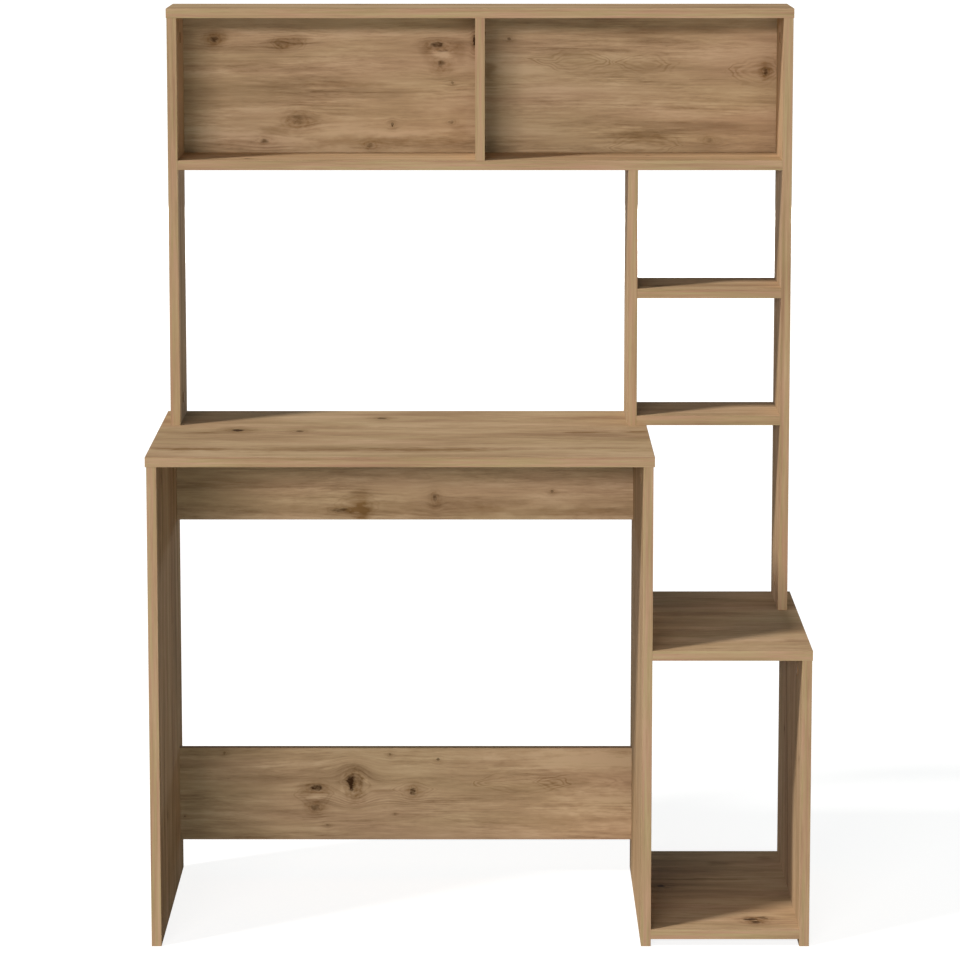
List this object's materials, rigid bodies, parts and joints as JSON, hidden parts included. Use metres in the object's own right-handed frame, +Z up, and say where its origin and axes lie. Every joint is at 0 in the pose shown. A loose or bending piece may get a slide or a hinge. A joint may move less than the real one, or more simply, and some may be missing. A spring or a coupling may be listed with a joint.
{
  "type": "student desk with hutch",
  "caption": "Student desk with a tall open hutch of compartments and small side shelves, and an open computer cabinet at its right side, in wood-grain board.",
  "frame": {"origin": "middle of the footprint, on the floor", "axes": "+Z up, +X to the sitter's right, towards the computer cabinet, +Y to the back, towards the wall"},
  "size_m": [1, 0.5, 1.4],
  "materials": {
    "faced_chipboard": "melamine-faced chipboard, rustic light oak print, satin",
    "edging_strip": "glued edging strip printed like the boards, satin",
    "hardboard": "thin hardboard, printed face to the front, plain brown at the back",
    "zinc_casting": "die-cast zinc, as cast",
    "plated_steel": "zinc-plated steel",
    "cap_plastic": "moulded cap, matt brown",
    "beech": "raw turned beech"
  },
  "bodies": {
    "root": {"cabinet_bottom": "faced_chipboard", "cabinet_bottom_edging": "edging_strip", "cabinet_leg_panel": "faced_chipboard", "cabinet_leg_panel_edging": "edging_strip", "cabinet_top": "faced_chipboard", "cabinet_top_edging": "edging_strip", "cam_bolts": "plated_steel", "cam_caps": "cap_plastic", "cam_housings": "zinc_casting", "centre_leg_panel": "faced_chipboard", "centre_leg_panel_edging": "edging_strip", "compartment_back": "hardboard", "compartment_divider": "faced_chipboard", "compartment_divider_edging": "edging_strip", "desktop": "faced_chipboard", "desktop_edging": "edging_strip", "hutch_centre_upright": "faced_chipboard", "hutch_centre_upright_edging": "edging_strip", "hutch_left_upright": "faced_chipboard", "hutch_left_upright_edging": "edging_strip", "hutch_right_upright": "faced_chipboard", "hutch_right_upright_edging": "edging_strip", "hutch_top": "faced_chipboard", "hutch_top_edging": "edging_strip", "left_leg_panel": "faced_chipboard", "left_leg_panel_edging": "edging_strip", "long_shelf": "faced_chipboard", "long_shelf_edging": "edging_strip", "lower_rail": "faced_chipboard", "lower_rail_edging": "edging_strip", "lower_small_shelf": "faced_chipboard", "lower_small_shelf_edging": "edging_strip", "panel_nails": "plated_steel", "upper_rail": "faced_chipboard", "upper_rail_edging": "edging_strip", "upper_small_shelf": "faced_chipboard", "upper_small_shelf_edging": "edging_strip", "wooden_dowels": "beech"}
  },
  "joints": []
}
